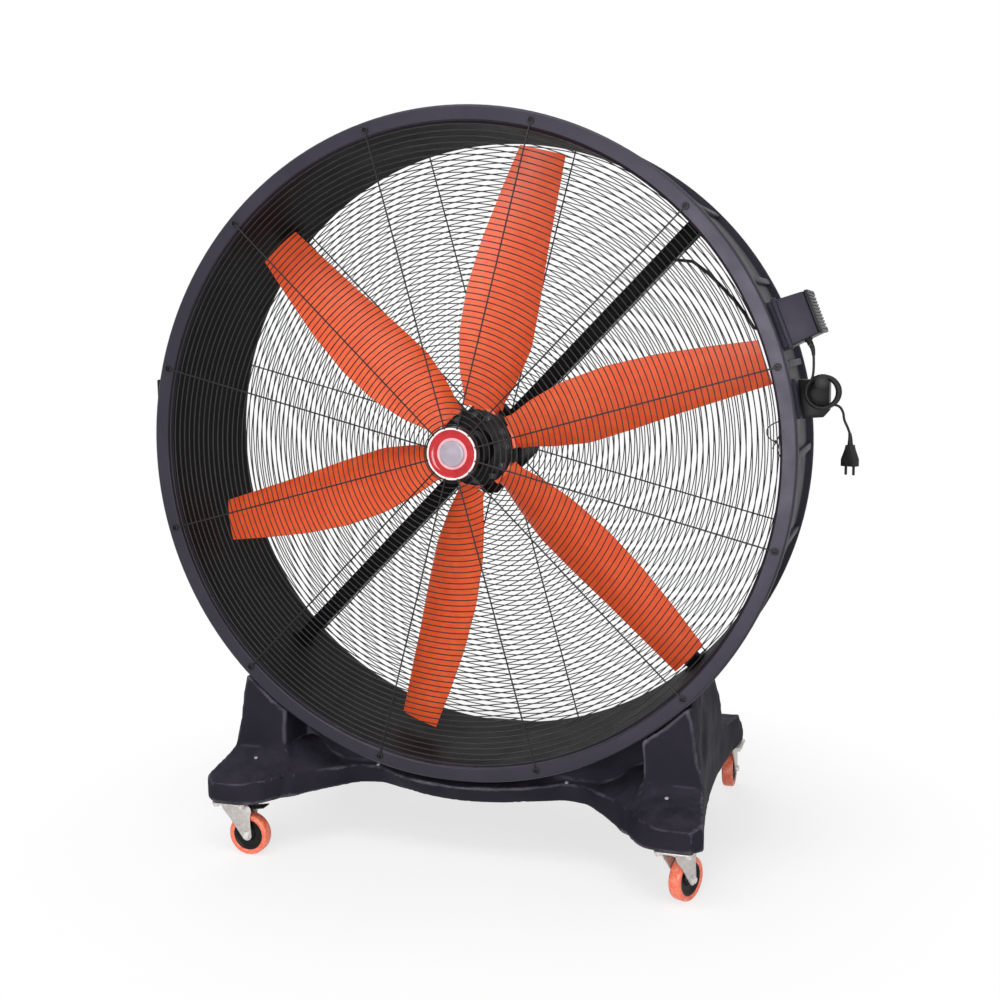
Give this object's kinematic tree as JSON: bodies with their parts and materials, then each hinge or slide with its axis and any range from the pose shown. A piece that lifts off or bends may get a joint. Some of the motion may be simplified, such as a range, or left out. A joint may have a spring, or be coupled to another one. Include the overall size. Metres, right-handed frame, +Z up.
{
  "type": "drum fan",
  "caption": "Large drum fan: orange blades between concentric wire guards in a dark moulded ring on a footed base with swivel casters and a mains cord.",
  "frame": {"origin": "on the floor, under the middle of the fan's bounding box without its cord", "axes": "+Z up, -Y is the front face that blows, +X to the right seen from the front; the drum's axis lies along Y"},
  "size_m": [1.7126, 0.8916, 1.735],
  "materials": {
    "moulding": "moulded dark grey-purple plastic, satin",
    "guard_wire": "black powder-coated wire",
    "blade_orange": "satin orange-red",
    "casting": "black painted metal",
    "shaft_steel": "turned steel",
    "badge_red": "glossy red with a light rim",
    "badge_grey": "plain glossy grey",
    "zinc": "bright zinc plating",
    "caster_tyre": "orange elastomer",
    "black_plastic": "black moulded plastic",
    "cord": "black rubber cord"
  },
  "bodies": {
    "frame": {"drum_shell": "moulding", "pedestal_base": "moulding", "front_grille": "guard_wire", "rear_grille": "guard_wire", "badge_dish": "badge_red", "badge_disc": "badge_grey", "support_bar_1": "casting", "support_bar_2": "casting", "support_bar_3": "casting", "support_bar_4": "casting", "bar_bracket_1": "casting", "bar_bracket_2": "casting", "bar_bracket_3": "casting", "bar_bracket_4": "casting", "motor_mount": "casting", "motor_body": "casting", "motor_cowl": "casting", "terminal_box": "black_plastic", "motor_cable": "cord", "control_box": "moulding", "control_lid": "black_plastic", "left_lug": "black_plastic", "cord_hook": "black_plastic", "caster_fl_plate": "zinc", "caster_fr_plate": "zinc", "caster_rl_plate": "zinc", "caster_rr_plate": "zinc", "cord_gland": "cord", "cord_lead": "cord", "cord_coil": "cord", "cord_tail": "cord", "plug": "cord"},
    "rotor": {"blade_1": "blade_orange", "blade_2": "blade_orange", "blade_3": "blade_orange", "blade_4": "blade_orange", "blade_5": "blade_orange", "blade_6": "blade_orange", "blade_hub": "casting", "hub_plate": "casting", "motor_shaft": "shaft_steel"},
    "knob": {"speed_knob": "black_plastic"},
    "swivel_fl": {"caster_fl_fork": "zinc"},
    "wheel_fl": {"caster_fl_tyre": "caster_tyre", "caster_fl_core": "black_plastic"},
    "pedal_fl": {"caster_fl_pedal": "black_plastic"},
    "swivel_fr": {"caster_fr_fork": "zinc"},
    "wheel_fr": {"caster_fr_tyre": "caster_tyre", "caster_fr_core": "black_plastic"},
    "pedal_fr": {"caster_fr_pedal": "black_plastic"},
    "swivel_rl": {"caster_rl_fork": "zinc"},
    "wheel_rl": {"caster_rl_tyre": "caster_tyre", "caster_rl_core": "black_plastic"},
    "swivel_rr": {"caster_rr_fork": "zinc"},
    "wheel_rr": {"caster_rr_tyre": "caster_tyre", "caster_rr_core": "black_plastic"}
  },
  "joints": [
    {"name": "rotor_spin", "type": "hinge", "parent": "frame", "child": "rotor", "pos_m": [-0.0015, -0.11883, 0.965], "axis": [0, 1, 0], "continuous": true},
    {"name": "speed_knob_turn", "type": "hinge", "parent": "frame", "child": "knob", "pos_m": [0.74851, -0.10983, 1.25742], "axis": [0, 1, 0], "range_deg": [0, 270]},
    {"name": "caster_fl_swivel", "type": "hinge", "parent": "frame", "child": "swivel_fl", "pos_m": [-0.5365, -0.39983, 0.132], "axis": [0, 0, 1], "continuous": true},
    {"name": "caster_fl_roll", "type": "hinge", "parent": "swivel_fl", "child": "wheel_fl", "pos_m": [-0.4985, -0.39983, 0.05], "axis": [0, 1, 0], "continuous": true},
    {"name": "caster_fl_brake", "type": "hinge", "parent": "swivel_fl", "child": "pedal_fl", "pos_m": [-0.4995, -0.39983, 0.1147], "axis": [0, 1, 0], "range_deg": [0, 15]},
    {"name": "caster_fr_swivel", "type": "hinge", "parent": "frame", "child": "swivel_fr", "pos_m": [0.5335, -0.39983, 0.132], "axis": [0, 0, 1], "continuous": true},
    {"name": "caster_fr_roll", "type": "hinge", "parent": "swivel_fr", "child": "wheel_fr", "pos_m": [0.54835, -0.36485, 0.05], "axis": [-0.9205, 0.3907, 0], "continuous": true},
    {"name": "caster_fr_brake", "type": "hinge", "parent": "swivel_fr", "child": "pedal_fr", "pos_m": [0.54796, -0.36577, 0.1147], "axis": [-0.9205, 0.3907, 0], "range_deg": [0, 15]},
    {"name": "caster_rl_swivel", "type": "hinge", "parent": "frame", "child": "swivel_rl", "pos_m": [-0.5365, 0.35817, 0.132], "axis": [0, 0, 1], "continuous": true},
    {"name": "caster_rl_roll", "type": "hinge", "parent": "swivel_rl", "child": "wheel_rl", "pos_m": [-0.5431, 0.3956, 0.05], "axis": [-0.9848, -0.1736, 0], "continuous": true},
    {"name": "caster_rr_swivel", "type": "hinge", "parent": "frame", "child": "swivel_rr", "pos_m": [0.5335, 0.35817, 0.132], "axis": [0, 0, 1], "continuous": true},
    {"name": "caster_rr_roll", "type": "hinge", "parent": "swivel_rr", "child": "wheel_rr", "pos_m": [0.5335, 0.39617, 0.05], "axis": [-1, 0, 0], "continuous": true}
  ]
}
